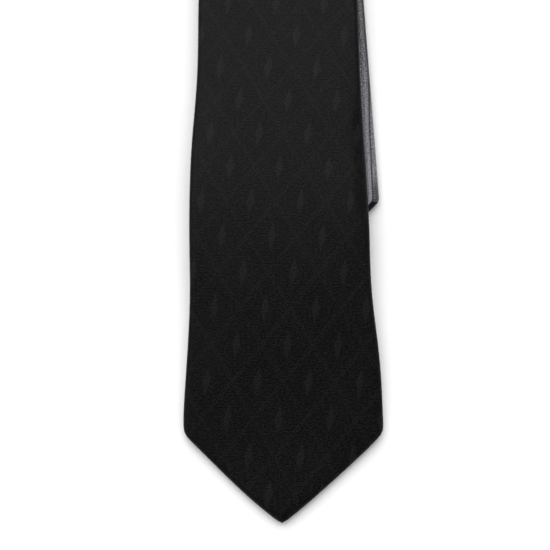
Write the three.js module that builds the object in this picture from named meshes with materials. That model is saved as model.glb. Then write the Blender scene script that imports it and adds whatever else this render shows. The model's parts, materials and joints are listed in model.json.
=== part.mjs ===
// A necktie folded once at the back of the neck and laid flat, with the wide front blade on
// top and the narrow tail under it. Millimetres, +Z up. The blade's tip points to -Y, the fold
// is at +Y, and the face of the blade looks up.
//
// The whole tie is one strip, so every piece is described in the strip's own coordinates:
// "along" is the distance from the blade's tip, over the fold, to the tail's tip; "across" is
// the distance from the centre line; "depth" rises from the seamed back, at 0, to the face.
// place() lays those coordinates out in space.
import * as THREE from 'three';

// Driving dimensions.
const BLADE_WIDTH = 80;
const TAIL_WIDTH = 42;
const NECK_WIDTH = 36;
const FOLDED_LENGTH = 795; // from the blade's tip to the crest of the fold
const TAIL_TIP_SETBACK = 114; // how far the tail's tip stops short of the blade's tip
const POINT_SLOPE = Math.tan(THREE.MathUtils.degToRad(42)); // rise of a point's two edges
const FAN_ANGLE = THREE.MathUtils.degToRad(2.34); // how far the tail swings out to +X

// Thicknesses and clearances.
const SHELL = 0.5;
const INTERLINING = 1.4;
const TIPPING = 0.4;
const THREAD = 0.5;
const GAP = 0.3;
const LEG_GAP = 2; // free space between the two legs
const LEG = 2 * SHELL + TIPPING + INTERLINING + 3 * GAP; // thickness of one leg

// Depths of the layers inside a leg, from the back to the face.
const TIPPING_DEPTH = SHELL + GAP;
const INTERLINING_DEPTH = TIPPING_DEPTH + TIPPING + GAP;

// The fold, a half circle round the inside gap.
const FOLD_RADIUS = LEG_GAP / 2;
const FOLD_Z = LEG + FOLD_RADIUS;
const FOLD_START = FOLDED_LENGTH - FOLD_Z;
const FOLD_END = FOLD_START + Math.PI * (FOLD_RADIUS + LEG / 2);
const TIE_LENGTH = FOLD_END + FOLD_START - TAIL_TIP_SETBACK;

// The three panels of the shell meet in seams cut on the bias.
const GORE_REACH = 85; // from the fold to the middle of each bias seam
const SEAM_GAP = 0.45;
const BLADE_SEAM = FOLD_START - GORE_REACH;
const TAIL_SEAM = FOLD_END + GORE_REACH;

// The blade lies on the tail, then comes down to the surface past the tail's end.
const LANDING = 45;
const LIFT_OFF = 140;

// The tail bends sideways over this stretch of the strip, about the pivot in its middle.
const BEND_START = TAIL_SEAM + 40;
const BEND_END = BEND_START + 50;
const PIVOT_Y = FOLD_START - ((BEND_START + BEND_END) / 2 - FOLD_END);

// A point starts blunt, as wide as its two rolled edges and the slit between them.
const SLIT = 0.6; // half the slit between the two back flaps
const NOSE = LEG / 2 + SLIT + 0.2;
const BLADE_CORNER = (BLADE_WIDTH / 2 - NOSE) * POINT_SLOPE;
const TAIL_CORNER = TIE_LENGTH - (TAIL_WIDTH / 2 - NOSE) * POINT_SLOPE;

// The back flaps leave a V open over each tipping, and meet at its apex.
const HEM = 4.5;
const BLADE_APEX = 165;
const TAIL_APEX = TIE_LENGTH - 85;

const { clamp, lerp, mapLinear, smoothstep } = THREE.MathUtils;

function steps(from, to, count) {
  return Array.from({ length: count + 1 }, (_, i) => lerp(from, to, i / count));
}

// Every piece breaks at the same places along the strip, so layers stay parallel.
const KNOTS = [
  ...steps(0, BLADE_CORNER, 4),
  ...steps(LANDING, LIFT_OFF, 8),
  BLADE_APEX,
  ...steps(260, 600, 2),
  ...steps(FOLD_START, FOLD_END, 8),
  ...steps(BEND_START, BEND_END, 4),
  ...steps(1100, 1250, 1),
  TAIL_APEX,
  ...steps(TAIL_CORNER, TIE_LENGTH, 4),
];

function halfWidth(along) {
  if (along < BLADE_CORNER) return NOSE + along / POINT_SLOPE;
  if (along > TAIL_CORNER) return NOSE + (TIE_LENGTH - along) / POINT_SLOPE;
  if (along < FOLD_START) return mapLinear(along, BLADE_CORNER, FOLD_START, BLADE_WIDTH, NECK_WIDTH) / 2;
  if (along < FOLD_END) return NECK_WIDTH / 2;
  return mapLinear(along, FOLD_END, TAIL_CORNER, NECK_WIDTH, TAIL_WIDTH) / 2;
}

function halfSlit(along) {
  const hemmed = Math.max(SLIT, halfWidth(along) - HEM);
  if (along < BLADE_CORNER || along > TAIL_CORNER) return hemmed;
  if (along < BLADE_APEX) {
    return mapLinear(along, BLADE_CORNER, BLADE_APEX, BLADE_WIDTH / 2 - HEM, SLIT);
  }
  if (along > TAIL_APEX) return mapLinear(along, TAIL_APEX, TAIL_CORNER, SLIT, TAIL_WIDTH / 2 - HEM);
  return SLIT;
}

function place(along, across, depth) {
  if (along <= FOLD_START) {
    const lift = (LEG + LEG_GAP) * smoothstep(along, LANDING, LIFT_OFF);
    return new THREE.Vector3(across, along, lift + depth);
  }
  if (along < FOLD_END) {
    const turn = mapLinear(along, FOLD_START, FOLD_END, 0, Math.PI);
    const radius = FOLD_RADIUS + depth;
    return new THREE.Vector3(across, FOLD_START + radius * Math.sin(turn), FOLD_Z + radius * Math.cos(turn));
  }
  const pivot = new THREE.Vector3(0, PIVOT_Y, 0);
  const bend = FAN_ANGLE * clamp(mapLinear(along, BEND_START, BEND_END, 0, 1), 0, 1);
  const straight = new THREE.Vector3(across, FOLD_START - (along - FOLD_END), LEG - depth);
  return straight.sub(pivot).applyAxisAngle(new THREE.Vector3(0, 0, 1), bend).add(pivot);
}

// The C-shaped section of a shell: out from one edge of the slit, round both rolled edges to
// the other, and back along the inside. "cloth" is the distance round the cloth from the
// middle of the face, which a bias seam follows.
function wrapSection(along) {
  const outer = LEG / 2;
  const roll = halfWidth(along) - outer;
  const rim = [];
  for (const side of [1, -1]) {
    const edge = steps(0, Math.PI, 4).map((turn) => ({
      side,
      turn,
      across: roll,
      cloth: side * (roll + outer * turn),
    }));
    const slit = halfSlit(along);
    edge.push({ side, turn: Math.PI, across: slit, cloth: side * (2 * roll + outer * Math.PI - slit) });
    rim.push(...(side > 0 ? edge.reverse() : edge));
  }
  const trace = (radius) =>
    rim.map(({ side, turn, across, cloth }) => ({
      across: side * (across + radius * Math.sin(turn)),
      depth: outer + radius * Math.cos(turn),
      cloth,
    }));
  return [...trace(outer), ...trace(outer - SHELL).reverse()];
}

// A flat layer of the given thickness, set in from the rolled edges by "inset".
function layerSection(along, inset, depth, thickness) {
  const edge = halfWidth(along) - inset;
  return [
    { across: -edge, depth, cloth: 0 },
    { across: edge, depth, cloth: 0 },
    { across: edge, depth: depth + thickness, cloth: 0 },
    { across: -edge, depth: depth + thickness, cloth: 0 },
  ];
}

// Joins one ring of points at each knot into a closed body. A section runs anticlockwise, and
// a bias of 1 cuts
// that end at 45 degrees to the cloth's edge, and "reach" keeps whole rings clear of the cut.
function loft(from, to, section, { startBias = 0, endBias = 0 } = {}) {
  const reach = 2 * NECK_WIDTH;
  const first = from + reach * Math.abs(startBias) * 0.75;
  const last = to - reach * Math.abs(endBias) * 0.75;
  const inside = KNOTS.filter((knot) => knot > first + 0.5 && knot < last - 0.5);
  const rings = [
    ring(from, section, startBias),
    ...inside.map((knot) => ring(knot, section, 0)),
    ring(to, section, endBias),
  ];
  const size = rings[0].length;
  const indices = [];
  for (let i = 0; i + 1 < rings.length; i += 1) {
    for (let j = 0; j < size; j += 1) {
      const a = i * size + j;
      const b = i * size + ((j + 1) % size);
      indices.push(a, b, b + size, a, b + size, a + size);
    }
  }
  const outline = section(from).map(({ across, depth }) => new THREE.Vector2(across, depth));
  for (const [a, b, c] of THREE.ShapeUtils.triangulateShape(outline, [])) {
    const end = (rings.length - 1) * size;
    indices.push(c, b, a, end + a, end + b, end + c);
  }
  return closedBody(rings.flat(), indices);
}

function ring(along, section, bias) {
  return section(along).map(({ cloth }, i) => {
    const cut = along + bias * cloth;
    const { across, depth } = section(cut)[i];
    return place(cut, across, depth);
  });
}

// Makes the geometry, turning the triangles over if they face inwards.
function closedBody(points, indices) {
  let volume = 0;
  for (let i = 0; i < indices.length; i += 3) {
    const [a, b, c] = [0, 1, 2].map((k) => points[indices[i + k]]);
    volume += a.dot(new THREE.Vector3().crossVectors(b, c));
  }
  const geometry = new THREE.BufferGeometry().setFromPoints(points);
  geometry.setIndex(volume < 0 ? indices.reverse() : indices);
  geometry.computeVertexNormals();
  return geometry;
}

function cloth(color, roughness) {
  return new THREE.MeshStandardMaterial({ color, roughness, metalness: 0 });
}

const JACQUARD = cloth(0x1d1d1e, 0.75);
const SATIN = cloth(0x3a3a3d, 0.4);
const WOOL = cloth(0xd8d3c6, 0.95);
const RIBBON = cloth(0x2a2a2c, 0.5);
const SEWING = cloth(0x161617, 0.6);

const tie = new THREE.Group();
tie.name = 'necktie';

function add(name, geometry, material, parent = tie) {
  const mesh = new THREE.Mesh(geometry, material.clone());
  mesh.name = name;
  parent.add(mesh);
  return mesh;
}

// The shell: three panels, folded round the interlining so that their edges meet at the back.
function addShell() {
  const half = SEAM_GAP / 2;
  add('blade_shell', loft(0, BLADE_SEAM - half, wrapSection, { endBias: 1 }), JACQUARD);
  add(
    'neck_panel',
    loft(BLADE_SEAM + half, TAIL_SEAM - half, wrapSection, { startBias: 1, endBias: 1 }),
    JACQUARD,
  );
  add('tail_shell', loft(TAIL_SEAM + half, TIE_LENGTH, wrapSection, { startBias: 1 }), JACQUARD);
}

// The interlining: two lengths of brushed wool that meet just short of the tail's seam.
function addInterlining() {
  const inset = LEG / 2 + 2 * GAP;
  const splice = TAIL_SEAM - 5;
  const layer = (along) => layerSection(along, inset, INTERLINING_DEPTH, INTERLINING);
  add('blade_interlining', loft(2 * GAP, splice - GAP / 2, layer), WOOL);
  add('tail_interlining', loft(splice + GAP / 2, TIE_LENGTH - 2 * GAP, layer), WOOL);
  const spliceLength = 8;
  const bar = () => barSection(NECK_WIDTH / 2 - 5, TIPPING_DEPTH, TIPPING);
  add('interlining_splice_stitch', loft(splice - spliceLength / 2, splice + spliceLength / 2, bar), SEWING);
}

// The tippings: satin linings behind each point, tucked under the hem and the flaps.
function addTippings() {
  const inset = LEG / 2 + 2 * GAP;
  const tuck = 10; // how far a tipping runs on under the closed flaps
  const start = 2;
  const layer = (along) => layerSection(along, inset, TIPPING_DEPTH, TIPPING);
  add('blade_tipping', loft(start, BLADE_APEX + tuck, layer), SATIN);
  add('tail_tipping', loft(TAIL_APEX - tuck, TIE_LENGTH - start, layer), SATIN);
}

function barSection(half, depth, thickness) {
  return [
    { across: -half, depth, cloth: 0 },
    { across: half, depth, cloth: 0 },
    { across: half, depth: depth + thickness, cloth: 0 },
    { across: -half, depth: depth + thickness, cloth: 0 },
  ];
}

// The slip stitch closes the back. It lies in the slit from bar tack to bar tack, in two runs
// that meet at the tail's seam.
function addSlipStitch() {
  const thread = () => barSection(THREAD / 2, 0, THREAD);
  add('blade_slip_stitch', loft(BLADE_APEX + 3, TAIL_SEAM - GAP / 2, thread), SEWING);
  add('tail_slip_stitch', loft(TAIL_SEAM + GAP / 2, TAIL_APEX - 3, thread), SEWING);
}

// A block sewn to the back of a leg. "raise" is its clearance from the cloth under it.
function backBlock(width, length, raise, thickness) {
  const geometry = new THREE.BoxGeometry(width, length, thickness);
  geometry.translate(0, 0, raise + thickness / 2);
  return geometry;
}

// The slack loop of thread that lets the slip stitch give when the tie is pulled.
function slackLoop() {
  const length = 12;
  const width = 3;
  const stadium = (outline, radius) => {
    outline.absarc(0, (length - width) / 2, radius, 0, Math.PI, false);
    outline.absarc(0, -(length - width) / 2, radius, Math.PI, 2 * Math.PI, false);
    outline.closePath();
    return outline;
  };
  const shape = stadium(new THREE.Shape(), width / 2);
  shape.holes.push(stadium(new THREE.Path(), width / 2 - THREAD));
  return new THREE.ExtrudeGeometry(shape, { depth: THREAD, bevelEnabled: false, curveSegments: 6 });
}

// The keeper loop: a flat band that stands off the back, with a sewn foot at each end.
const KEEPER_LENGTH = 12;
const KEEPER_REACH = 25; // half the free width, wide enough for the tail
const KEEPER_FOOT = 5;
const KEEPER_BAND = 0.8;
const KEEPER_CLEAR = 0.8; // free height under the band

function keeperLoop() {
  const foot = KEEPER_REACH + KEEPER_FOOT;
  const inner = KEEPER_REACH - KEEPER_BAND;
  const top = KEEPER_CLEAR + KEEPER_BAND;
  const right = [
    [inner, KEEPER_CLEAR],
    [inner, GAP],
    [foot, GAP],
    [foot, GAP + SHELL],
    [KEEPER_REACH, GAP + SHELL],
    [KEEPER_REACH, top],
  ].map(([x, z]) => new THREE.Vector2(x, z));
  const left = right.map(({ x, y }) => new THREE.Vector2(-x, y)).reverse();
  const band = new THREE.Shape([...right, ...left]);
  const geometry = new THREE.ExtrudeGeometry(band, { depth: KEEPER_LENGTH, bevelEnabled: false });
  geometry.translate(0, 0, -KEEPER_LENGTH / 2);
  geometry.rotateX(Math.PI / 2);
  return geometry;
}

// A group on the back of a leg, with its own +Z pointing out of the cloth.
function backOfBlade(along) {
  const group = new THREE.Group();
  group.position.set(0, along, LEG + LEG_GAP);
  group.rotation.y = Math.PI;
  tie.add(group);
  return group;
}

function backOfTail(along) {
  const group = new THREE.Group();
  group.position.copy(place(along, 0, 0));
  group.rotation.z = FAN_ANGLE;
  tie.add(group);
  return group;
}

const BAR_TACK = [7, 2, GAP, THREAD];

function addBladeTrim() {
  add('blade_bar_tack', backBlock(...BAR_TACK), SEWING, backOfBlade(BLADE_APEX + 4));

  const loop = add('slack_thread_loop', slackLoop(), SEWING, backOfBlade(BLADE_APEX - 17));
  loop.position.z = -THREAD;

  const keeper = backOfBlade(251);
  add('keeper_loop', keeperLoop(), JACQUARD, keeper);
  for (const [name, side] of [['keeper_tack_left', 1], ['keeper_tack_right', -1]]) {
    const tack = add(name, backBlock(2, KEEPER_LENGTH - 2, 2 * GAP + SHELL, 0.4), SEWING, keeper);
    tack.position.x = side * (KEEPER_REACH + KEEPER_FOOT / 2 + GAP);
  }

  const labelWidth = 45;
  const labelLength = 22;
  const label = backOfBlade(286);
  add('blank_label', backBlock(labelWidth, labelLength, GAP, TIPPING), RIBBON, label);
  for (const [name, side] of [['label_stitch_left', 1], ['label_stitch_right', -1]]) {
    const row = add(name, backBlock(1, labelLength - 4, 2 * GAP + TIPPING, GAP), SEWING, label);
    row.position.x = side * (labelWidth / 2 - 1.5);
  }
}

function addTailTrim() {
  add('tail_bar_tack', backBlock(...BAR_TACK), SEWING, backOfTail(TAIL_APEX - 4));

  const careWidth = 24;
  const careLength = 30;
  const care = backOfTail(TIE_LENGTH - 216);
  add('care_label', backBlock(careWidth, careLength, GAP, GAP), RIBBON, care);
  const row = add('care_label_stitch', backBlock(careWidth - 4, 1, 3 * GAP, GAP), SEWING, care);
  row.position.y = careLength / 2 - 1.5;
}

addShell();
addInterlining();
addTippings();
addSlipStitch();
addBladeTrim();
addTailTrim();

// The origin is under the middle of the tie's outline, on the surface that it lies on.
const tailCorner = place(TAIL_CORNER, TAIL_WIDTH / 2, 0).x;
tie.position.set((BLADE_WIDTH / 2 - tailCorner) / 2, -FOLDED_LENGTH / 2, 0);

export default tie;
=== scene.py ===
"""A black jacquard necktie, folded at the neck and laid flat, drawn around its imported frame.

The whole tie is one strip of cloth, so each piece is described in the strip's own coordinates:
"along" runs from the blade's tip, over the fold, to the tail's tip; "across" is the distance
from the centre line; "depth" rises from the seamed back, at 0, to the face. place() turns those
coordinates into points in the frame. All lengths are in metres.
"""
import json
import math

import bpy
import numpy as np
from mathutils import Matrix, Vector


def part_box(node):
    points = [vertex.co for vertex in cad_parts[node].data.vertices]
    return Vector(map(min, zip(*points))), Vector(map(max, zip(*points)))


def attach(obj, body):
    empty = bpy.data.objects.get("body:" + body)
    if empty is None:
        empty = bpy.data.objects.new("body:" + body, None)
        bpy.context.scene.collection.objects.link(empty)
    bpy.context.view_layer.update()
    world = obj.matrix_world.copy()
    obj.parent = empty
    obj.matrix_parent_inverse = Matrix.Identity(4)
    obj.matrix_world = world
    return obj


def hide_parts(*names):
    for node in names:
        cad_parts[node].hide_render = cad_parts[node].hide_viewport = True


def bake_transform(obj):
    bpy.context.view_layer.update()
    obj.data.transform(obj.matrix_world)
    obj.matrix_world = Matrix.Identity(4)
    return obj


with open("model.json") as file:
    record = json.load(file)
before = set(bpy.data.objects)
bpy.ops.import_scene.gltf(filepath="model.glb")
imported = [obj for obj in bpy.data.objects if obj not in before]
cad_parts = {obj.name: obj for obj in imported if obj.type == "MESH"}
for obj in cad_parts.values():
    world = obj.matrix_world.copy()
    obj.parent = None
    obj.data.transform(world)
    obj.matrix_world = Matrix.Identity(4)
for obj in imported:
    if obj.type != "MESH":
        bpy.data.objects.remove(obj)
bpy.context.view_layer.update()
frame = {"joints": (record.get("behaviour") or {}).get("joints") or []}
MM = 0.001

# ---- Sizes read from the frame ----
BLADE_LOW, BLADE_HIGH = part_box("blade_shell")
NECK_LOW, NECK_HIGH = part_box("neck_panel")
TAIL_LOW, TAIL_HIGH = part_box("tail_shell")
JOINTS = {joint["name"]: joint for joint in frame["joints"]}

CENTRE_X = (BLADE_LOW.x + BLADE_HIGH.x) / 2
TIP_Y = BLADE_LOW.y
BLADE_WIDTH = BLADE_HIGH.x - BLADE_LOW.x
LEG = TAIL_HIGH.z - TAIL_LOW.z
FOLD_Z = NECK_HIGH.z / 2
FOLD_RADIUS = FOLD_Z - LEG
LEG_GAP = 2 * FOLD_RADIUS
FOLD_START = NECK_HIGH.y - TIP_Y - FOLD_Z
FOLD_END = FOLD_START + math.pi * (FOLD_RADIUS + LEG / 2)

# ---- The tie's own pattern ----
# The neck panel reaches GORE_REACH to each side of the fold. The interlining is in three lengths,
# which part at LINING_PARTING and at LINING_SPLICE.
TAIL_WIDTH = 42.8 * MM
NECK_WIDTH = 36 * MM
GORE_REACH = 85 * MM
SEAM_GAP = 0.3 * MM
BLADE_SEAM = FOLD_START - GORE_REACH
TAIL_SEAM = FOLD_END + GORE_REACH
BIAS_REACH = 75 * MM
LINING_PARTING = BLADE_SEAM - 40 * MM
LINING_SPLICE = TAIL_SEAM - 5 * MM

# The tail bends sideways about the frame's pivot, over this stretch.
FAN_ANGLE = math.radians(2.34)
PIVOT_Y = JOINTS["tail_fan"]["pos_m"][1] - TIP_Y
PIVOT_ALONG = FOLD_END + FOLD_START - PIVOT_Y
BEND_HALF = 25 * MM
TIE_LENGTH = PIVOT_ALONG + (PIVOT_Y - (TAIL_LOW.y - TIP_Y)) / math.cos(FAN_ANGLE)

# The blade's back leaves the floor LANDING from its tip, and from LIFT_OFF on it lies on the tail.
# Its unevenness fades out over SETTLING before the fold.
LANDING = 12 * MM
LIFT_OFF = 140 * MM
SETTLING = 60 * MM
RIPPLE = 0.12 * MM

# Where the blade's edges hang down by EDGE_DROP: the side, where along it the sag starts, is full,
# fades and ends, and how far in from the edge it reaches.
EDGE_DROP = 1.25 * MM
SAG_HEM = 0.5 * MM
SAGS = (
    (1, (110 * MM, 140 * MM, 158 * MM, 186 * MM), 5 * MM),
    (-1, (130 * MM, 190 * MM, 300 * MM, 520 * MM), 12 * MM),
)

# Soft unevenness of the blade's outline: the size, the middle and the spread of each pinch in its
# width and of each stray of its middle line, and one long stray further up.
BLADE_FLARE = 1.5 * MM
PINCHES = ((1.4 * MM, 92 * MM, 26 * MM), (1.0 * MM, 188 * MM, 30 * MM), (0.25 * MM, 135 * MM, 30 * MM))
STRAYS = ((1.1 * MM, 62 * MM, 30 * MM), (0.7 * MM, 28 * MM, 12 * MM), (-0.3 * MM, 152 * MM, 24 * MM))
LONG_STRAY = 0.35 * MM
LONG_STRAY_SPAN = (150 * MM, 200 * MM, 400 * MM, 700 * MM)

# Each point has a small round tip. From there its edges spread at POINT_SLOPE, with a bulge that
# grows to BELLY over about BELLY_LENGTH. The section swells to full thickness over TIP_TAPER.
POINT_SLOPE = math.tan(math.radians(43.6))
BELLY = 2.7 * MM
BELLY_LENGTH = 8 * MM
TIP_ROUND = 0.9 * MM
TIP_TAPER = 4 * MM
TIP_CLOSING = 0.1 * MM
BLADE_CORNER_ROUND = 2.0 * MM
TAIL_CORNER_ROUND = 0.6 * MM
BLADE_CORNER = (BLADE_WIDTH / 2 - BELLY) * POINT_SLOPE
TAIL_CORNER = TIE_LENGTH - (TAIL_WIDTH / 2 - BELLY) * POINT_SLOPE

# The back flaps: a hem round each point, and a V that closes at its apex.
HEM = 4.5 * MM
SLIT = 0.12 * MM
BLADE_APEX = 165 * MM
TAIL_APEX = TIE_LENGTH - 85 * MM
TURN_RADIUS = 0.42 * MM
TURN_UNDER = 5 * MM
SHELL_CLOTH = 0.32 * MM
FACE_CROWN = 0.25 * MM

# The rolled edges. The tail's is pressed sharp, and it widens in two steps towards its point, each
# with its size and where, above the corner, it is full and where it starts.
BLADE_ROLL = 2.2 * MM
TAIL_ROLL = 0.7 * MM
ROLL_STEPS = ((1.3 * MM, 26 * MM, 58 * MM), (0.7 * MM, 2 * MM, 26 * MM))

# On the tail's back a groove runs along the inside of the rolled edge, and a welt inside that. Both
# fade out between these heights above the corner.
GROOVE_DEPTH = 0.55 * MM
GROOVE_HALF = 0.3 * MM
WELT_HEIGHT = 0.5 * MM
WELT_HALF = 0.85 * MM
WELT_INSET = 1.25 * MM
PRESS_FADE = (180 * MM, 260 * MM)

# Layers inside a leg, as depths from the back.
TIPPING_DEPTH = 1.15 * MM
TIPPING_CLOTH = 0.25 * MM
INTERLINING_DEPTH = 2.25 * MM
INTERLINING_CLOTH = 1.3 * MM


def smoothstep(value, low, high):
    t = np.clip((np.asarray(value, float) - low) / (high - low), 0, 1)
    return t * t * (3 - 2 * t)


def bell(value, middle, width):
    return np.exp(-(((np.asarray(value, float) - middle) / width) ** 2))


def window(value, start, full, fading, end):
    """Rises from 0 to 1 between start and full, and falls back to 0 between fading and end."""
    return smoothstep(value, start, full) * (1 - smoothstep(value, fading, end))


def soft_min(a, b, radius):
    return 0.5 * (a + b - np.sqrt((a - b) ** 2 + radius**2))


def half_width(along):
    """Half the finished width, with rounded corners and softly wavy sides."""
    sides = np.interp(
        along,
        [0, FOLD_START, FOLD_END, TAIL_CORNER, TIE_LENGTH],
        [
            BLADE_WIDTH / 2 + BLADE_FLARE,
            NECK_WIDTH / 2,
            NECK_WIDTH / 2,
            TAIL_WIDTH / 2,
            TAIL_WIDTH / 2,
        ],
    )
    for size, middle, spread in PINCHES:
        sides = sides - size * bell(along, middle, spread)
    from_tip = np.minimum(along, TIE_LENGTH - along)
    point = from_tip / POINT_SLOPE + BELLY * (1 - np.exp(-np.clip(from_tip, 0, None) / BELLY_LENGTH))
    point = point + TIP_ROUND * np.sqrt(np.clip(from_tip / TIP_ROUND, 0, 1))
    rounding = np.where(along < PIVOT_ALONG, BLADE_CORNER_ROUND, TAIL_CORNER_ROUND)
    return soft_min(sides, point, rounding) * np.clip(from_tip / TIP_CLOSING, 0, 1)


def edge_roll(along):
    """How far in from the edge the cloth starts to turn."""
    tail_roll = TAIL_ROLL
    for size, full, start in ROLL_STEPS:
        tail_roll = tail_roll + size * (1 - smoothstep(TAIL_CORNER - along, full, start))
    return np.where(along < PIVOT_ALONG, BLADE_ROLL, tail_roll)


def half_slit(along):
    """Half the opening between the two back flaps."""
    hemmed = np.maximum(SLIT, half_width(along) - HEM)
    blade_v = np.interp(along, [BLADE_CORNER, BLADE_APEX], [BLADE_WIDTH / 2 - HEM, SLIT])
    tail_v = np.interp(along, [TAIL_APEX, TAIL_CORNER], [SLIT, TAIL_WIDTH / 2 - HEM])
    return np.minimum(hemmed, np.where(along < PIVOT_ALONG, blade_v, tail_v))


def sway(along):
    """How far the blade's middle strays sideways, as a tie laid by hand does."""
    strays = sum(size * bell(along, middle, spread) for size, middle, spread in STRAYS)
    return strays + LONG_STRAY * window(along, *LONG_STRAY_SPAN)


def ripple(along, across):
    """Low waves in the blade, which bend and cross so that no two are alike."""
    wave_length, bend_width, cross_width, slant_length = 9.5 * MM, 14 * MM, 8 * MM, 31 * MM
    bend = 1.3 * np.sin(across / bend_width)
    waves = np.sin(along / wave_length + bend) * np.sin(across / cross_width + along / slant_length)
    return RIPPLE * (1 + waves)


def lift(along, across):
    """Height of the blade's back above the floor: it rests on the tail, and its edges hang down
    beside the tail as far as leaves the tail free to swing under them."""
    rise = (LEG + LEG_GAP) * smoothstep(along, LANDING, LIFT_OFF)
    drop = 0
    for side, stretch, reach in SAGS:
        from_edge = half_width(along) - side * across
        drop = drop + window(along, *stretch) * (1 - smoothstep(from_edge, SAG_HEM, reach))
    return rise - EDGE_DROP * drop + ripple(along, across) * smoothstep(along, 0, LANDING)


def place(along, across, depth):
    """Points in the frame, as an array with x, y and z last."""
    along, across, depth = np.broadcast_arrays(
        np.asarray(along, float), np.asarray(across, float), np.asarray(depth, float)
    )
    on_blade = along <= FOLD_START
    on_tail = along >= FOLD_END
    settled = smoothstep(-along, -FOLD_START, -FOLD_START + SETTLING)
    turn = np.clip((along - FOLD_START) / (FOLD_END - FOLD_START), 0, 1) * math.pi
    radius = FOLD_RADIUS + depth
    level = LEG + LEG_GAP
    height = level + (lift(along, across) - level) * settled
    blade_y, blade_z = along, height + depth
    fold_y = FOLD_START + radius * np.sin(turn)
    fold_z = FOLD_Z + radius * np.cos(turn)
    tail_y = FOLD_START - (along - FOLD_END)
    x = across + np.where(on_blade, sway(along), 0)
    y = np.where(on_blade, blade_y, np.where(on_tail, tail_y, fold_y))
    z = np.where(on_blade, blade_z, np.where(on_tail, LEG - depth, fold_z))
    bend = FAN_ANGLE * smoothstep(along, PIVOT_ALONG - BEND_HALF, PIVOT_ALONG + BEND_HALF)
    ahead = y - PIVOT_Y
    swung_x = x * np.cos(bend) - ahead * np.sin(bend)
    swung_y = PIVOT_Y + x * np.sin(bend) + ahead * np.cos(bend)
    return np.stack([swung_x + CENTRE_X, swung_y + TIP_Y, z], axis=-1)


# ---- Mesh making ----
SHARP_ANGLE = math.radians(50)


def new_object(name, points, faces, materials, uv=None, marks=None, slots=None):
    """A mesh object. uv and marks hold one value for each point, and slots one for each face."""
    mesh = bpy.data.meshes.new(name)
    mesh.from_pydata([tuple(p) for p in points], [], [tuple(f) for f in faces])
    for material in materials:
        mesh.materials.append(material)
    if slots is not None:
        mesh.polygons.foreach_set("material_index", np.asarray(slots, np.int32))
    if uv is not None:
        corners = np.zeros(len(mesh.loops), int)
        mesh.loops.foreach_get("vertex_index", corners)
        layer = mesh.uv_layers.new(name="cloth")
        layer.data.foreach_set("uv", np.asarray(uv, np.float32)[corners].ravel())
    for mark, values in (marks or {}).items():
        layer = mesh.attributes.new(mark, "FLOAT", "POINT")
        layer.data.foreach_set("value", np.asarray(values, np.float32))
    mesh.validate()
    mesh.polygons.foreach_set("use_smooth", [True] * len(mesh.polygons))
    mesh.update()
    piece = bpy.data.objects.new(name, mesh)
    bpy.context.scene.collection.objects.link(piece)
    return piece


def grid_faces(rows, columns, closed=False):
    row, column = np.meshgrid(
        np.arange(rows - 1), np.arange(columns if closed else columns - 1), indexing="ij"
    )
    a = row * columns + column
    b = row * columns + (column + 1) % columns
    return np.stack([a, b, b + columns, a + columns], axis=-1).reshape(-1, 4)


def apply_modifiers(piece):
    graph = bpy.context.evaluated_depsgraph_get()
    mesh = bpy.data.meshes.new_from_object(piece.evaluated_get(graph), depsgraph=graph)
    old = piece.data
    piece.modifiers.clear()
    piece.data = mesh
    bpy.data.meshes.remove(old)
    mesh.name = piece.name
    return piece


def thicken(piece, thickness, offset=-1.0):
    """Gives a surface its cloth's thickness: on the inner side, or with an offset of 0 on both."""
    solid = piece.modifiers.new("cloth", "SOLIDIFY")
    solid.thickness = thickness
    solid.offset = offset
    solid.use_even_offset = False
    solid.use_rim = True
    apply_modifiers(piece)
    piece.data.set_sharp_from_angle(angle=SHARP_ANGLE)
    return piece


def merge_points(piece, distance=1e-6):
    weld = piece.modifiers.new("weld", "WELD")
    weld.merge_threshold = distance
    return apply_modifiers(piece)


def area_of(points):
    """Area of a grid of points."""
    a = points[1:, :-1] - points[:-1, :-1]
    b = points[:-1, 1:] - points[:-1, :-1]
    return float(np.linalg.norm(np.cross(a, b), axis=-1).sum())


def spaced(start, end, step):
    """Stations no more than step apart."""
    share = np.linspace(0, 1, max(2, int(math.ceil(abs(end - start) / step)) + 1))
    return start + (end - start) * share


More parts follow.
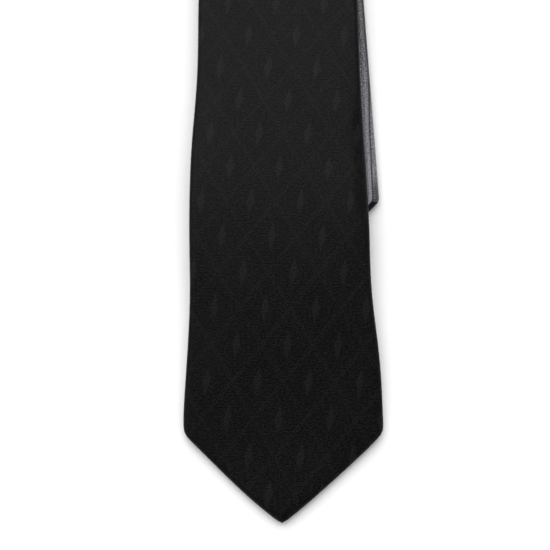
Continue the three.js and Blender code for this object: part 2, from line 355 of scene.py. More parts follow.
# ---- The wrapped shell ----
def wrap_profile(along, shares):
    """Across, depth and cloth distance for each along and each share of the way round.

    shares runs from -5 to 5: 0 is the middle of the face, and on each side the face, the rolled
    edge, the flap, its turned edge and the turning under it take one unit each. Near a tip the
    parts shrink with the width, each to no more than its share of the room.
    """
    roll_share, slit_share, turn_share, under_share = 0.6, 0.5, 0.2, 0.9
    along = np.asarray(along, float)
    side = np.sign(shares)
    way = np.abs(shares)
    width = half_width(along)
    roll = np.minimum(edge_roll(along), roll_share * width)
    inner = width - roll
    slit = np.minimum(half_slit(along), slit_share * inner)
    turn = np.minimum(TURN_RADIUS, turn_share * inner)
    under = np.minimum(TURN_UNDER, np.maximum(inner - slit - turn, 0) * under_share)
    face, edge, flap, curl, tuck = [np.clip(way - start, 0, 1) for start in range(5)]

    edge_angle = edge * math.pi
    curl_angle = curl * math.pi
    flap_end = slit + turn
    across = inner * face
    across = np.where(way > 1, inner + roll * np.sin(edge_angle), across)
    flap_eased = 0.5 - 0.5 * np.cos(math.pi * flap)
    across = np.where(way > 2, inner + (flap_end - inner) * flap_eased, across)
    across = np.where(way > 3, flap_end - turn * np.sin(curl_angle), across)
    across = np.where(way > 4, flap_end + under * tuck, across)

    half = LEG / 2
    crown = FACE_CROWN * (inner * face / np.maximum(width, 1e-6)) ** 4
    depth = LEG - crown
    depth = np.where(way > 1, half + half * np.cos(edge_angle) - crown * (1 - edge), depth)
    depth = np.where(way > 2, 0, depth)
    depth = np.where(way > 3, turn * (1 - np.cos(curl_angle)), depth)
    depth = np.where(way > 4, 2 * turn, depth)
    from_tip = np.minimum(along, TIE_LENGTH - along)
    blunt = np.clip(from_tip / TIP_TAPER, 0, 1)
    swell = np.sqrt(1 - (1 - blunt) ** 2)
    depth = half + (depth - half) * swell

    arc = math.pi / 2 * (roll + half)
    cloth = inner * face + arc * edge + (inner - flap_end) * flap + math.pi * turn * curl + under * tuck
    return side * across, depth, side * cloth


def wrap_shares():
    """The shares at which the section has its points, with so many steps in each unit."""
    steps = (22, 16, 18, 5, 3)
    half = np.concatenate([np.linspace(n, n + 1, count + 1)[1:] for n, count in enumerate(steps)])
    return np.concatenate([-half[::-1], [0], half])


def pressed_edge(along, across, depth, shares):
    """The back of the tail beside its edge: a rolled band, a groove, and a plump welt inside it.
    Returns the new depth, how much painted shade each point gets, and how much painted sheen brightens its
    satin."""
    from_edge = half_width(along) - np.abs(across)
    above_corner = TAIL_CORNER - along
    band = edge_roll(along)
    band_blur = 0.2 * MM
    on_back = (np.abs(shares) > 1.5) & (np.abs(shares) <= 3)
    fade = (1 - smoothstep(above_corner, *PRESS_FADE)) * on_back
    outside = 1 - smoothstep(from_edge, band - band_blur, band + band_blur)
    groove = bell(from_edge, band, GROOVE_HALF) * fade
    welt = bell(from_edge, band + WELT_INSET, WELT_HALF) * fade
    shadowed_end = 1 - smoothstep(above_corner, 3 * MM, 15 * MM)
    # Painted shade: darker in the groove and on the rolled band near the point, where shade falls.
    shade = np.maximum(groove, shadowed_end * outside * on_back)
    # Painted sheen: the satin's colour is brightened on the flaps near the point, standing in for the
    # light it catches there.
    lit_stretch = 1 - smoothstep(above_corner, 25 * MM, 75 * MM)
    lit_end = 1 - smoothstep(above_corner, 6 * MM, 20 * MM)
    gleam = (1 - 0.3 * outside) * (lit_stretch + 0.6 * lit_end) * on_back
    return depth + GROOVE_DEPTH * groove - WELT_HEIGHT * welt, shade, gleam


def wrap_sheet(name, stations, materials, start_bias=0.0, end_bias=0.0, pressed=False, backing=None):
    """A panel of the shell. A bias of 1 cuts that end at 45 degrees across the cloth, and the slant
    spreads over BIAS_REACH of it. backing says which faces take the second material."""
    shares = wrap_shares()
    along = np.repeat(stations[:, None], len(shares), axis=1)
    _, _, cloth = wrap_profile(along, shares[None, :])
    lean = np.zeros(len(stations))
    if start_bias:
        lean += start_bias * (1 - smoothstep(stations, stations[0], stations[0] + BIAS_REACH))
    if end_bias:
        lean += end_bias * smoothstep(stations, stations[-1] - BIAS_REACH, stations[-1])
    along = along + lean[:, None] * cloth
    across, depth, cloth = wrap_profile(along, shares[None, :])
    shade = gleam = np.zeros_like(across)
    if pressed:
        depth, shade, gleam = pressed_edge(along, across, depth, shares[None, :])
    points = place(along, across, depth)
    # The rolled rim is marked so that the tail's satin can darken it with painted shade.
    rim = np.broadcast_to((np.abs(shares) > 1) & (np.abs(shares) < 2), across.shape)
    piece = new_object(
        name,
        points.reshape(-1, 3),
        grid_faces(*across.shape),
        materials,
        uv=np.stack([cloth, along], axis=-1).reshape(-1, 2),
        marks={"shade": shade.ravel(), "rim": rim.ravel(), "gleam": gleam.ravel()},
        slots=None if backing is None else backing(along, shares)[:-1, :-1].ravel(),
    )
    merge_points(piece)
    thicken(piece, SHELL_CLOTH)
    widest = float((cloth.max(axis=1) - cloth.min(axis=1)).max())
    length = float(along.max() - along.min())
    return piece, (widest, length), area_of(points)


# ---- Flat layers ----
def layer_sheet(name, stations, inset, depth, thickness, material, columns=25):
    """A flat sheet inside a leg, with its edges inset from the leg's."""
    narrowest = 0.4 * MM
    share = np.linspace(-1, 1, columns)
    along = np.repeat(stations[:, None], columns, axis=1)
    across = share[None, :] * np.maximum(half_width(along) - inset, narrowest)
    points = place(along, across, depth)
    piece = new_object(
        name,
        points.reshape(-1, 3),
        grid_faces(*across.shape),
        [material],
        uv=np.stack([across, along], axis=-1).reshape(-1, 2),
    )
    thicken(piece, thickness, offset=0)
    return piece, (float(np.ptp(across)), float(np.ptp(stations))), area_of(points)


# ---- Threads ----
def tube_points(path, radius, sides=6):
    """Rings round a path, kept from twisting by carrying one side direction along it."""
    path = np.asarray(path, float)
    tangent = np.gradient(path, axis=0)
    tangent /= np.linalg.norm(tangent, axis=1)[:, None]
    unlike_any_start = [0.0, 0.3, 1.0]
    side = np.cross(tangent[0], unlike_any_start)
    rings = []
    for point, direction in zip(path, tangent):
        side = side - direction * np.dot(side, direction)
        side /= np.linalg.norm(side)
        other = np.cross(direction, side)
        angles = np.arange(sides) * 2 * math.pi / sides
        rings.append(point + radius * (np.outer(np.cos(angles), side) + np.outer(np.sin(angles), other)))
    return np.array(rings)


def thread_object(name, paths, radius, material, sides=6):
    """One mesh of closed thread tubes, one for each path."""
    points, faces, uv = [], [], []
    for path in paths:
        rings = tube_points(path, radius, sides)
        base = sum(len(p) for p in points)
        count = len(rings)
        points.append(rings.reshape(-1, 3))
        faces += (grid_faces(count, sides, closed=True) + base).tolist()
        faces.append(list(range(base, base + sides))[::-1])
        faces.append(list(range(base + (count - 1) * sides, base + count * sides)))
        steps = np.linalg.norm(np.diff(np.asarray(path), axis=0), axis=1)
        run = np.concatenate([[0], np.cumsum(steps)])
        turn = np.arange(sides) / sides
        uv.append(np.stack(np.meshgrid(turn, run), axis=-1).reshape(-1, 2))
    return new_object(name, np.concatenate(points), faces, [material], uv=np.concatenate(uv))


def smooth_path(points, per_span=6):
    """A Catmull-Rom curve through the points."""
    p = np.asarray(points, float)
    p = np.concatenate([[2 * p[0] - p[1]], p, [2 * p[-1] - p[-2]]])
    t = np.linspace(0, 1, per_span, endpoint=False)[:, None]
    spans = [
        0.5 * (2 * b + (c - a) * t + (2 * a - 5 * b + 4 * c - d) * t**2 + (3 * b - a - 3 * c + d) * t**3)
        for a, b, c, d in zip(p[:-3], p[1:-2], p[2:-1], p[3:])
    ]
    return np.concatenate([*spans, p[-2:-1]])


# ---- Materials ----
class Nodes:
    """A material's node tree, with short ways to add the nodes that the cloths share."""

    def __init__(self, name):
        self.material = bpy.data.materials.new(name)
        self.material.use_nodes = True
        self.tree = self.material.node_tree
        self.shader = self.tree.nodes["Principled BSDF"]
        cloth = self.add("ShaderNodeUVMap")
        cloth.uv_map = "cloth"
        in_mm = self.add("ShaderNodeVectorMath", operation="SCALE")
        in_mm.inputs["Scale"].default_value = 1 / MM
        self.link(cloth.outputs["UV"], in_mm.inputs[0])
        self.cloth = in_mm.outputs[0]
        split = self.add("ShaderNodeSeparateXYZ")
        self.link(self.cloth, split.inputs[0])
        self.across, self.along = split.outputs[0], split.outputs[1]

    def add(self, kind, **settings):
        node = self.tree.nodes.new(kind)
        for setting, value in settings.items():
            setattr(node, setting, value)
        return node

    def link(self, source, socket):
        self.tree.links.new(source, socket)

    def math(self, operation, *values):
        node = self.add("ShaderNodeMath", operation=operation)
        for socket, value in zip(node.inputs, values):
            if isinstance(value, (int, float)):
                socket.default_value = value
            else:
                self.link(value, socket)
        return node.outputs[0]

    def total(self, start, *terms):
        """The start plus each term's value times its weight."""
        for value, weight in terms:
            start = self.math("MULTIPLY_ADD", value, weight, start)
        return start

    def wave(self, value, period):
        """A sine of the value, from 0 to 1."""
        turns = self.math("MULTIPLY", value, 2 * math.pi / period)
        return self.math("MULTIPLY_ADD", self.math("SINE", turns), 0.5, 0.5)

    def noise(self, across_size, along_size, detail=2.0, roughness=0.5):
        """Noise whose grains have these sizes, in millimetres."""
        scaled = self.add("ShaderNodeVectorMath", operation="MULTIPLY")
        scaled.inputs[1].default_value = (1 / across_size, 1 / along_size, 1)
        self.link(self.cloth, scaled.inputs[0])
        node = self.add("ShaderNodeTexNoise", noise_dimensions="2D")
        node.inputs["Scale"].default_value = 1
        node.inputs["Detail"].default_value = detail
        node.inputs["Roughness"].default_value = roughness
        self.link(scaled.outputs[0], node.inputs["Vector"])
        return node.outputs["Fac"]

    def near(self, value, reach, softness=0.5):
        """1 where the value is within reach of 0, fading out over the last part of it."""
        size = self.math("ABSOLUTE", value)
        node = self.add("ShaderNodeMapRange", interpolation_type="SMOOTHSTEP")
        node.inputs["From Min"].default_value = reach
        node.inputs["From Max"].default_value = reach * (1 - softness)
        self.link(size, node.inputs["Value"])
        return node.outputs["Result"]

    def around(self, value):
        """How far the value is from the nearest whole number."""
        return self.math("SUBTRACT", self.math("FRACT", self.math("ADD", value, 0.5)), 0.5)

    def attribute(self, name):
        return self.add("ShaderNodeAttribute", attribute_name=name).outputs["Fac"]

    def ramp(self, value, low, high):
        """The colour from low to high as the value goes from 0 to 1."""
        node = self.add("ShaderNodeMix", data_type="RGBA")
        node.inputs["A"].default_value = (*low, 1)
        node.inputs["B"].default_value = (*high, 1)
        self.link(value, node.inputs["Factor"])
        return node.outputs["Result"]

    def finish(self, colour, roughness, height, relief, specular=0.3, sheen=0.0):
        """Colour and roughness are sockets or values; height is bump, of this relief in metres."""
        self.link(colour, self.shader.inputs["Base Color"])
        if isinstance(roughness, float):
            self.shader.inputs["Roughness"].default_value = roughness
        else:
            self.link(roughness, self.shader.inputs["Roughness"])
        bump = self.add("ShaderNodeBump")
        bump.inputs["Strength"].default_value = 1
        bump.inputs["Distance"].default_value = relief
        self.link(height, bump.inputs["Height"])
        self.link(bump.outputs["Normal"], self.shader.inputs["Normal"])
        self.shader.inputs["Specular IOR Level"].default_value = specular
        self.shader.inputs["Sheen Weight"].default_value = sheen
        self.shader.inputs["Sheen Roughness"].default_value = 0.5
        return self.material


def twill(nodes, period):
    """Height of a fine twill, broken up by uneven threads."""
    return nodes.wave(nodes.total(nodes.across, (nodes.along, 0.8), (nodes.noise(1.6, 0.9), 0.5)), period)


def jacquard_silk():
    """Near-black silk: a ribbed twill, with steep fine double lines that make diamonds, and a slim
    plain lozenge woven in the middle of each diamond. Sizes are in millimetres."""
    column, row = 20.6, 15.0
    row_shift, row_slope = 8.5, 0.02
    first_column, first_row = -0.74, -0.68
    nodes = Nodes("jacquard_silk")
    level = nodes.total(nodes.along, (nodes.across, row_slope))
    down = nodes.total(first_row, (level, 1 / row))
    side = nodes.total(nodes.across, (down, row_shift))
    side = nodes.total(first_column, (side, 1 / column))
    cell_down, cell_side = nodes.around(down), nodes.around(side)

    lozenge_lean, half_wide, half_long = 0.13, 2.0, 6.8
    lean = nodes.math("MULTIPLY", cell_down, row_shift + lozenge_lean * row)
    from_middle = nodes.math("SUBTRACT", nodes.math("MULTIPLY", cell_side, column), lean)
    wide = nodes.math("DIVIDE", nodes.math("ABSOLUTE", from_middle), half_wide)
    long = nodes.math("DIVIDE", nodes.math("ABSOLUTE", cell_down), half_long / row)
    lozenge = nodes.near(nodes.math("ADD", wide, long), 1.0, 0.35)
    uneven = nodes.total(-0.15, (nodes.noise(0.9, 1.1, 2.0, 0.7), 2.2))
    motif = nodes.math("MULTIPLY", lozenge, uneven)

    half_gap, half_line = 0.42, 0.3
    lines = []
    for turns, spacing in ((side, 17.3), (nodes.math("SUBTRACT", side, down), 15.3)):
        apart = nodes.math("MULTIPLY", nodes.around(nodes.math("ADD", turns, 0.5)), spacing)
        from_line = nodes.math("SUBTRACT", nodes.math("ABSOLUTE", apart), half_gap)
        lines.append(nodes.near(from_line, half_line))
    line = nodes.math("MULTIPLY", nodes.math("MAXIMUM", *lines), nodes.noise(1.2, 1.8, 3.0))
    figure = nodes.math("ADD", motif, line)

    weave = twill(nodes, 0.42)
    ribs = nodes.wave(nodes.math("ADD", nodes.along, nodes.noise(6.0, 1.2)), 0.85)
    fibres = nodes.noise(1.1, 0.7, 2.0, 0.75)
    patches = nodes.noise(9.0, 14.0, 2.0)
    tone = nodes.total(-1.76, (fibres, 3.7), (ribs, 0.10), (weave, 0.10), (patches, 0.3))
    tone = nodes.total(tone, (motif, 1.0), (line, 0.85))
    colour = nodes.ramp(tone, (0.0001, 0.0001, 0.0002), (0.0067, 0.0065, 0.0074))
    roughness = nodes.total(0.42, (figure, -0.12), (fibres, -0.25))
    height = nodes.total(0.0, (weave, 0.35), (ribs, 0.25), (fibres, 2.0), (figure, 0.8))
    return nodes.finish(colour, roughness, height, 0.042 * MM, specular=0.073)


def tail_silk():
    """Grey satin with a mauve cast, speckled by its weave; painted shade darkens its rolled rim, its
    groove and its point, and painted sheen brightens its flaps near the point.
    """
    nodes = Nodes("tail_silk")
    weave = twill(nodes, 0.5)
    grain = nodes.noise(0.7, 0.6, 2.0, 0.6)
    streaks = nodes.noise(1.2, 9.0, 2.0)
    tone = nodes.total(-2.56, (grain, 5.0), (weave, 0.18), (streaks, 0.35))
    # Painted shade darkens the rolled rim, and painted sheen brightens the flaps near the point.
    tone = nodes.total(tone, (nodes.attribute("rim"), -0.15), (nodes.attribute("gleam"), 0.70))
    # Painted shade, broken into beads along the groove, darkens the tone.
    beads = nodes.total(0.7, (nodes.wave(nodes.along, 1.1), 0.3))
    shade = nodes.math("MULTIPLY", nodes.attribute("shade"), beads)
    tone = nodes.math("MULTIPLY", tone, nodes.math("SUBTRACT", 1.0, shade))
    colour = nodes.ramp(tone, (0.004, 0.004, 0.006), (0.22, 0.21, 0.24))
    height = nodes.total(0.0, (weave, 0.5), (grain, 0.8))
    return nodes.finish(colour, 0.36, height, 0.04 * MM, specular=0.55)


def satin_lining():
    """Smooth black lining with long floats of thread and a soft, broad shine."""
    nodes = Nodes("satin_lining")
    floats = nodes.noise(0.25, 3.0, 3.0, 0.6)
    weave = twill(nodes, 0.3)
    cloud = nodes.noise(14.0, 22.0)
    tone = nodes.total(0.0, (cloud, 0.3), (floats, 0.8))
    colour = nodes.ramp(tone, (0.006, 0.006, 0.007), (0.030, 0.029, 0.033))
    height = nodes.total(0.0, (weave, 0.3), (floats, 0.7))
    return nodes.finish(colour, 0.36, height, 0.03 * MM, specular=0.4)


def wool_interlining():
    """Napped grey-cream wool: a plain weave under a haze of fibres."""
    nodes = Nodes("wool_interlining")
    plain = nodes.math("MULTIPLY", nodes.wave(nodes.across, 1.1), nodes.wave(nodes.along, 1.1))
    nap = nodes.noise(0.7, 0.9, 4.0, 0.7)
    tone = nodes.total(0.0, (nap, 0.8), (plain, 0.4))
    colour = nodes.ramp(tone, (0.30, 0.28, 0.24), (0.62, 0.60, 0.54))
    height = nodes.math("ADD", plain, nap)
    return nodes.finish(colour, 0.95, height, 0.12 * MM, sheen=0.3)


def ribbon():
    """Woven ribbon: crosswise ribs, with a selvedge line down each side."""
    nodes = Nodes("ribbon")
    ribs = nodes.wave(nodes.along, 0.5)
    warp = nodes.wave(nodes.across, 0.35)
    wear = nodes.noise(1.5, 1.0, 3.0)
    selvedge = nodes.near(nodes.math("SUBTRACT", nodes.attribute("edge"), 0.93), 0.05)
    tone = nodes.total(0.0, (wear, 0.6), (ribs, 0.35), (selvedge, 0.8))
    colour = nodes.ramp(tone, (0.010, 0.010, 0.012), (0.060, 0.058, 0.064))
    height = nodes.total(0.0, (warp, 0.4), (ribs, 0.7))
    return nodes.finish(colour, 0.5, height, 0.06 * MM, specular=0.35)


def sewing_thread():
    """Twisted black thread, with a fine helix of plies."""
    nodes = Nodes("sewing_thread")
    turn = nodes.math("MULTIPLY", nodes.across, MM)
    plies = nodes.wave(nodes.total(turn, (nodes.along, 0.7)), 0.5)
    fuzz = nodes.noise(200.0, 0.3, 3.0)
    tone = nodes.total(0.0, (fuzz, 0.4), (plies, 0.6))
    colour = nodes.ramp(tone, (0.006, 0.006, 0.007), (0.045, 0.044, 0.050))
    return nodes.finish(colour, 0.48, plies, 0.05 * MM, specular=0.35)


MATERIALS = {
    make.__name__: make()
    for make in (jacquard_silk, tail_silk, satin_lining, wool_interlining, ribbon, sewing_thread)
}


# ---- Attaching ----
def belongs(piece, slot, bodies, nodes, start=None, end=None):
    """Attaches a piece to its body, or bakes its place when it has several bodies, and hides the CAD nodes
    it stands for. The slot is not used.
    """
    if isinstance(bodies, str):
        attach(piece, bodies)
    else:
        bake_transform(piece)
    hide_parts(*nodes)
    return piece


# The tail's sideways bend runs over this stretch.
FAN_START = (CENTRE_X, TIP_Y + PIVOT_Y + BEND_HALF, 0)
FAN_END = (CENTRE_X, TIP_Y + PIVOT_Y - BEND_HALF, 0)

# A thin layer across the middle of the fold. No row of points lies in this thin layer.
FOLD_LAYER = 0.03 * MM
FOLD_LOW = (CENTRE_X, TIP_Y + FOLD_START, FOLD_Z - FOLD_LAYER)
FOLD_HIGH = (CENTRE_X, TIP_Y + FOLD_START, FOLD_Z + FOLD_LAYER)


# ---- The shell ----
def satin_back(along, shares):
    """The tail's flaps are faced in satin from halfway round the edge, except for a hem of the
    face's silk round its point."""
    halfway_round, flap_start = 1.4, 2
    way = np.abs(shares)[None, :]
    hem = (along > TAIL_CORNER) & (way < flap_start)
    return ((way > halfway_round) & ~hem).astype(int)


def make_shells():
    """The three panels of silk. The neck panel is a piece on each leg, with a crest between them."""
    silk = [MATERIALS["jacquard_silk"]]
    past_corner = 5 * MM
    point_step, blade_step, neck_step, tail_step = 1.6 * MM, 3.2 * MM, 3 * MM, 2.4 * MM
    point = np.concatenate([
        TIP_TAPER * np.linspace(0, 1, 9) ** 2,
        spaced(TIP_TAPER, BLADE_CORNER + past_corner, point_step)[1:],
    ])
    rest = spaced(point[-1], BLADE_SEAM - SEAM_GAP / 2, blade_step)[1:]
    blade, flat, area = wrap_sheet(
        "blade_shell_cloth", np.concatenate([point, rest]), silk, end_bias=1.0
    )
    belongs(blade, "jacquard_silk", "blade_leg", ["blade_shell"])

    above_fold = spaced(BLADE_SEAM + SEAM_GAP / 2, FOLD_START, neck_step)
    upper, flat, area = wrap_sheet("neck_panel_upper_cloth", above_fold, silk, start_bias=1.0)
    belongs(upper, "jacquard_silk", "blade_leg", [])

    round_fold = np.linspace(FOLD_START, FOLD_END, 24)
    crest, _, _ = wrap_sheet("neck_panel_crest_cloth", round_fold, silk)
    belongs(crest, "jacquard_silk", ("neck", "blade_leg"), [], FOLD_LOW, FOLD_HIGH)

    below_fold = spaced(FOLD_END, TAIL_SEAM - SEAM_GAP / 2, neck_step)
    lower, flat, area = wrap_sheet("neck_panel_cloth", below_fold, silk, end_bias=1.0)
    belongs(lower, "jacquard_silk", "neck", ["neck_panel"])

    tail_point = TIE_LENGTH - point[::-1]
    body = spaced(TAIL_SEAM + SEAM_GAP / 2, tail_point[0], tail_step)[:-1]
    tail, flat, area = wrap_sheet(
        "tail_shell_cloth", np.concatenate([body, tail_point]), [*silk, MATERIALS["tail_silk"]],
        start_bias=1.0, pressed=True, backing=satin_back,
    )
    belongs(tail, "tail_silk", ("neck", "tail_leg"), ["tail_shell"], FAN_START, FAN_END)


# ---- Linings ----
def make_tippings():
    """The satin that lines each point, up to just past the apex of its V."""
    inset, from_tip, past_apex, step = 1.3 * MM, 2.5 * MM, 10 * MM, 2.5 * MM
    satin = MATERIALS["satin_lining"]
    for name, start, end, body, under in (
        ("blade_tipping", from_tip, BLADE_APEX + past_apex, "blade_leg", "blade_interlining"),
        ("tail_tipping", TAIL_APEX - past_apex, TIE_LENGTH - from_tip, "tail_leg", "tail_interlining"),
    ):
        stations = spaced(start, end, step)
        piece, flat, area = layer_sheet(
            name + "_cloth", stations, inset, TIPPING_DEPTH, TIPPING_CLOTH, satin
        )
        belongs(piece, "satin_lining", body, [name])


def make_interlinings():
    """The wool inside each leg, and a length of it that goes round the fold."""
    inset, from_tip, splice_gap, step = LEG / 2 + 0.4 * MM, 6 * MM, 0.5 * MM, 4 * MM
    round_fold = np.linspace(FOLD_START, FOLD_END, 18)
    before_fold = spaced(LINING_PARTING, FOLD_START, step)[:-1]
    after_fold = spaced(FOLD_END, LINING_SPLICE, step)[1:]
    wool = MATERIALS["wool_interlining"]
    for name, stations, nodes, bodies, ends, under in (
        ("blade_interlining", spaced(from_tip, LINING_PARTING, step), ["blade_interlining"],
         "blade_leg", (), "blade_shell"),
        ("neck_interlining", np.concatenate([before_fold, round_fold, after_fold]), [],
         ("neck", "blade_leg"), (FOLD_LOW, FOLD_HIGH), "neck_panel"),
        ("tail_interlining", spaced(LINING_SPLICE + splice_gap, TIE_LENGTH - from_tip, step),
         ["tail_interlining"], ("neck", "tail_leg"), (FAN_START, FAN_END), "tail_shell"),
    ):
        piece, flat, area = layer_sheet(
            name + "_cloth", stations, inset, INTERLINING_DEPTH, INTERLINING_CLOTH, wool, columns=13
        )
        belongs(piece, "wool_interlining", bodies, nodes, *ends)


# ---- Sewing ----
SLIP_THREAD = 0.17 * MM
TACK_THREAD = 0.15 * MM
LOOP_THREAD = 0.2 * MM
KEEPER_THREAD = 0.16 * MM
LABEL_THREAD = 0.14 * MM

# One slip stitch: how far along its pitch, and how far across and how deep in millimetres.
SLIP_STITCH = (
    (-0.22, 0.2, 0.15), (-0.12, 0.75, 0.22), (0.0, 0.95, 0.55), (0.12, 0.75, 0.65), (0.3, 0.1, 0.6),
)


def slip_stitches(start, end, pitch=9 * MM):
    """The thread that draws the two flaps together: it dips into one fold, then into the other."""
    count = int(round((end - start) / pitch))
    knots = []
    for stitch in range(count + 1):
        at = start + (end - start) * stitch / count
        side = 1 if stitch % 2 else -1
        for shift, across, depth in SLIP_STITCH:
            if start <= at + shift * pitch <= end:
                knots.append((at + shift * pitch, side * across * MM, depth * MM))
    path = smooth_path(knots, 3)
    return place(path[:, 0], path[:, 1], path[:, 2])


def bar_tack(along, width=7 * MM, length=1.9 * MM, passes=9):
    """A dense bar of thread laid across the closed flaps, on the back: it zigzags from side to side,
    and stands proud of the cloth in between."""
    foot, top = 0.02 * MM, 0.26 * MM
    knots = []
    turns = passes * 2
    for turn in range(turns):
        side = 1 if turn % 2 else -1
        knots.append((along + (turn / (turns - 1) - 0.5) * length, side * width / 2, -foot))
        knots.append((along + ((turn + 0.5) / (turns - 1) - 0.5) * length, 0, -top))
    path = smooth_path(knots[:-1], 4)
    return place(path[:, 0], path[:, 1], path[:, 2])


def stitch(along, across, depth, length, sideways=False, height=0.3 * MM):
    """A short stitch that stands up in a small arch."""
    share = np.linspace(-0.5, 0.5, 9)
    arch = height * np.cos(share * math.pi) ** 0.7
    run = share * length
    if sideways:
        return place(along, across + run, depth - arch)
    return place(along + run, across, depth - arch)


def sewn(name, paths, radius, bodies, nodes=None, ends=(None, None)):
    piece = thread_object(name + "_thread", paths, radius, MATERIALS["sewing_thread"])
    return belongs(piece, "sewing_thread", bodies, [name] if nodes is None else nodes, *ends)


def make_slip_stitches():
    """Black thread down the middle of the back, in runs that part where the bodies do."""
    gap = 1 * MM
    blade_run = slip_stitches(BLADE_APEX + 7 * MM, LINING_PARTING)
    sewn("blade_slip_stitch", [blade_run], SLIP_THREAD, "blade_leg")
    neck_runs = [
        slip_stitches(LINING_PARTING + gap, FOLD_START),
        slip_stitches(FOLD_END, TAIL_SEAM - gap),
    ]
    fold = (FOLD_LOW, FOLD_HIGH)
    sewn("neck_slip_stitch", neck_runs, SLIP_THREAD, ("neck", "blade_leg"), [], fold)
    tail_run = slip_stitches(TAIL_SEAM + gap, TAIL_APEX - 3 * MM)
    sewn("tail_slip_stitch", [tail_run], SLIP_THREAD, ("neck", "tail_leg"), ends=(FAN_START, FAN_END))


def make_tacks():
    """The bar tacks, the loop of slack thread below the blade's, and the interlining's splice."""
    past_apex = 4 * MM
    sewn("blade_bar_tack", [bar_tack(BLADE_APEX + past_apex)], TACK_THREAD, "blade_leg")
    sewn("tail_bar_tack", [bar_tack(TAIL_APEX - past_apex)], TACK_THREAD, "tail_leg")

    turns = np.linspace(0, 2 * math.pi * 0.93, 40)
    loop_middle, loop_long, loop_wide, loop_depth = 148 * MM, 6 * MM, 1.5 * MM, 0.5 * MM
    loop = place(loop_middle + loop_long * np.cos(turns), loop_wide * np.sin(turns), loop_depth)
    sewn("slack_thread_loop", [loop], LOOP_THREAD, "blade_leg")

    reach, width, depth, strokes = 3 * MM, 24 * MM, 1.2 * MM, 12
    zigzag = [
        (LINING_SPLICE + (reach if i % 2 else -reach), (i / strokes - 0.5) * width, depth)
        for i in range(strokes + 1)
    ]
    path = smooth_path(zigzag, 5)
    splice = place(path[:, 0], path[:, 1], path[:, 2])
    sewn("interlining_splice_stitch", [splice], LOOP_THREAD, "neck")


# ---- Keeper loop and labels ----
# Where the middle of each lies along the tie, and its height along and half width across it.
KEEPER, KEEPER_HEIGHT, KEEPER_HALF = 251 * MM, 12 * MM, 30 * MM
LABEL, LABEL_HEIGHT, LABEL_HALF = 286 * MM, 22 * MM, 22.5 * MM
CARE_LABEL, CARE_HEIGHT, CARE_HALF = TAIL_APEX - 131 * MM, 24 * MM, 15 * MM
FLAT_FOOT = 0.12 * MM


def standing(share):
    """A keeper lies flat at its ends and stands off the back in between."""
    return FLAT_FOOT + 0.85 * MM * smoothstep(-np.abs(share), -0.84, -0.6)


def laid(share):
    return FLAT_FOOT + 0 * share


def ribbon_sheet(name, along, height, half, material, bow, thickness):
    """A flat strip laid across the back, standing off it by bow(share) at each share of its width."""
    share = np.linspace(-1, 1, 41)
    rows = np.linspace(-0.5, 0.5, 9)
    spots_along = along + np.repeat(rows[:, None], len(share), axis=1) * height
    across = np.broadcast_to(share * half, spots_along.shape)
    depth = -np.broadcast_to(bow(share), spots_along.shape)
    points = place(spots_along, across, depth)
    edge = np.broadcast_to(np.abs(rows)[:, None] * 2, spots_along.shape)
    piece = new_object(
        name, points.reshape(-1, 3), grid_faces(*spots_along.shape), [material],
        uv=np.stack([across, spots_along], axis=-1).reshape(-1, 2), marks={"edge": edge.ravel()},
    )
    thicken(piece, thickness)
    return piece, (2 * half, height)


def make_trim():
    """The keeper, cut from the blade's silk, and the two blank labels."""
    silk, tape = MATERIALS["jacquard_silk"], MATERIALS["ribbon"]
    keeper, flat = ribbon_sheet(
        "keeper_loop_cloth", KEEPER, KEEPER_HEIGHT, KEEPER_HALF, silk, standing, 0.55 * MM
    )
    belongs(keeper, "jacquard_silk", "blade_leg", ["keeper_loop"])

    label, flat = ribbon_sheet("blank_label_tape", LABEL, LABEL_HEIGHT, LABEL_HALF, tape, laid, 0.3 * MM)
    belongs(label, "ribbon", "blade_leg", ["blank_label"])

    care, flat = ribbon_sheet("care_label_tape", CARE_LABEL, CARE_HEIGHT, CARE_HALF, tape, laid, 0.25 * MM)
    belongs(care, "ribbon", "tail_leg", ["care_label"])


def make_trim_stitches():
    """Rows of small stitches: down each end of the keeper and of the label, and along the care
    label's upper edge."""
    rows = np.arange(9) / 8 - 0.5
    for side, word in ((-1, "left"), (1, "right")):
        foot = side * (KEEPER_HALF - 2 * MM)
        tack = [stitch(KEEPER + row * 8 * MM, foot, -0.6 * MM, 3.4 * MM, sideways=True) for row in rows]
        sewn(f"keeper_tack_{word}", tack, KEEPER_THREAD, "blade_leg")
        end = side * (LABEL_HALF - 1.2 * MM)
        seam = [stitch(LABEL + row * 19 * MM, end, -0.36 * MM, 1.8 * MM) for row in rows]
        sewn(f"label_stitch_{word}", seam, LABEL_THREAD, "blade_leg")

    top = CARE_LABEL + CARE_HEIGHT / 2 - 1 * MM
    middles = np.linspace(-13, 13, 10) * MM
    seam = [stitch(top, x, -0.32 * MM, 1.8 * MM, sideways=True, height=0.25 * MM) for x in middles]
    sewn("care_label_stitch", seam, LABEL_THREAD, "tail_leg")


# ---- Camera, floor and lights ----
# The room's light, and two round patches of its sky: azimuth, elevation, radius and softness in
# degrees, and then how strong each is.
ROOM_LIGHT = 0.9
CEILING, CEILING_LIGHT = (0, 95, 24, 8), 0.06
SOFTBOX, SOFTBOX_LIGHT = (-14, 46, 33.7, 4), 2.95
FLOOR_HALF = 6.0
FLOOR_GAP = 0.2 * MM


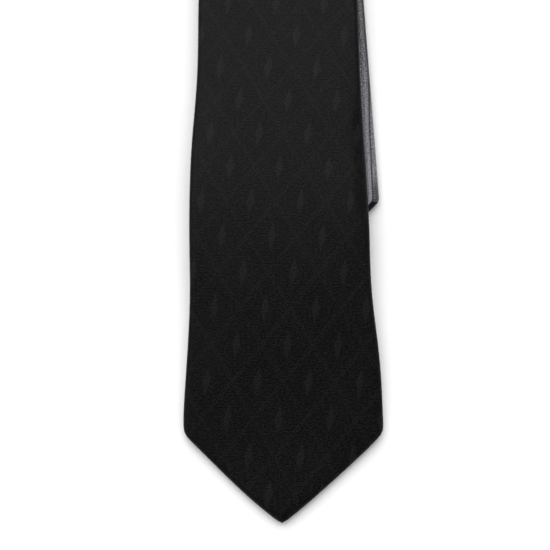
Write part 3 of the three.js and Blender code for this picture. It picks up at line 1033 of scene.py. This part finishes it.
def make_camera():
    """The camera looks steeply down on the blade's lower part, from below its tip."""
    elevation, azimuth = math.radians(75), math.radians(0.46)
    distance, left_of_tip, beyond_tip = 539.4 * MM, 2.76 * MM, 101.4 * MM
    forward = Vector((math.sin(azimuth), math.cos(azimuth), 0))
    right = Vector((forward.y, -forward.x, 0))
    tip = Vector((CENTRE_X, TIP_Y, 0))
    target = tip - right * left_of_tip + forward * beyond_tip
    back = -forward * math.cos(elevation) + Vector((0, 0, math.sin(elevation)))
    camera = bpy.data.objects.new("camera", bpy.data.cameras.new("camera"))
    camera.data.lens = 85
    camera.data.sensor_width = 36
    camera.data.clip_start = 0.01
    camera.location = target + back * distance
    camera.rotation_euler = (-back).to_track_quat("-Z", "Y").to_euler()
    bpy.context.scene.collection.objects.link(camera)
    bpy.context.scene.camera = camera


def floor_material():
    material = bpy.data.materials.new("pale_floor")
    material.use_nodes = True
    shader = material.node_tree.nodes["Principled BSDF"]
    shader.inputs["Base Color"].default_value = (0.93, 0.93, 0.93, 1)
    shader.inputs["Roughness"].default_value = 0.9
    shader.inputs["Specular IOR Level"].default_value = 0.1
    return material


def make_stage():
    corners = ((-1, -1), (1, -1), (1, 1), (-1, 1))
    points = [(x * FLOOR_HALF, y * FLOOR_HALF, -FLOOR_GAP) for x, y in corners]
    mesh = bpy.data.meshes.new("floor")
    mesh.from_pydata(points, [], [(0, 1, 2, 3)])
    mesh.materials.append(floor_material())
    floor = bpy.data.objects.new("floor", mesh)
    bpy.context.scene.collection.objects.link(floor)


def make_lights():
    """A pale room all round, with one broad softbox beyond the fold, to the left, and a dim ceiling."""
    world = bpy.data.worlds.new("studio")
    world.use_nodes = True
    tree = world.node_tree
    background = tree.nodes["Background"]
    background.inputs["Color"].default_value = (1, 1, 1, 1)
    view = tree.nodes.new("ShaderNodeTexCoord")

    def patch(azimuth, elevation, radius, softness):
        """1 inside a round patch of sky, falling to 0 round its rim. Azimuth turns from +Y to +X."""
        turn, rise = math.radians(azimuth), math.radians(elevation)
        near = tree.nodes.new("ShaderNodeVectorMath")
        near.operation = "DOT_PRODUCT"
        near.inputs[1].default_value = (
            math.sin(turn) * math.cos(rise), math.cos(turn) * math.cos(rise), math.sin(rise)
        )
        tree.links.new(view.outputs["Generated"], near.inputs[0])
        edge = tree.nodes.new("ShaderNodeMapRange")
        edge.interpolation_type = "SMOOTHSTEP"
        edge.inputs["From Min"].default_value = math.cos(math.radians(radius + softness))
        edge.inputs["From Max"].default_value = math.cos(math.radians(radius - softness))
        tree.links.new(near.outputs["Value"], edge.inputs["Value"])
        return edge.outputs["Result"]

    strength = ROOM_LIGHT
    for place_in_sky, level in ((CEILING, CEILING_LIGHT), (SOFTBOX, SOFTBOX_LIGHT)):
        mix = tree.nodes.new("ShaderNodeMix")
        tree.links.new(patch(*place_in_sky), mix.inputs["Factor"])
        if isinstance(strength, float):
            mix.inputs["A"].default_value = strength
        else:
            tree.links.new(strength, mix.inputs["A"])
        mix.inputs["B"].default_value = level
        strength = mix.outputs["Result"]
    tree.links.new(strength, background.inputs["Strength"])
    bpy.context.scene.world = world
    bpy.context.scene.view_settings.view_transform = "Standard"


make_camera()
make_stage()
make_lights()
make_shells()
make_tippings()
make_interlinings()
make_slip_stitches()
make_tacks()
make_trim()
make_trim_stitches()
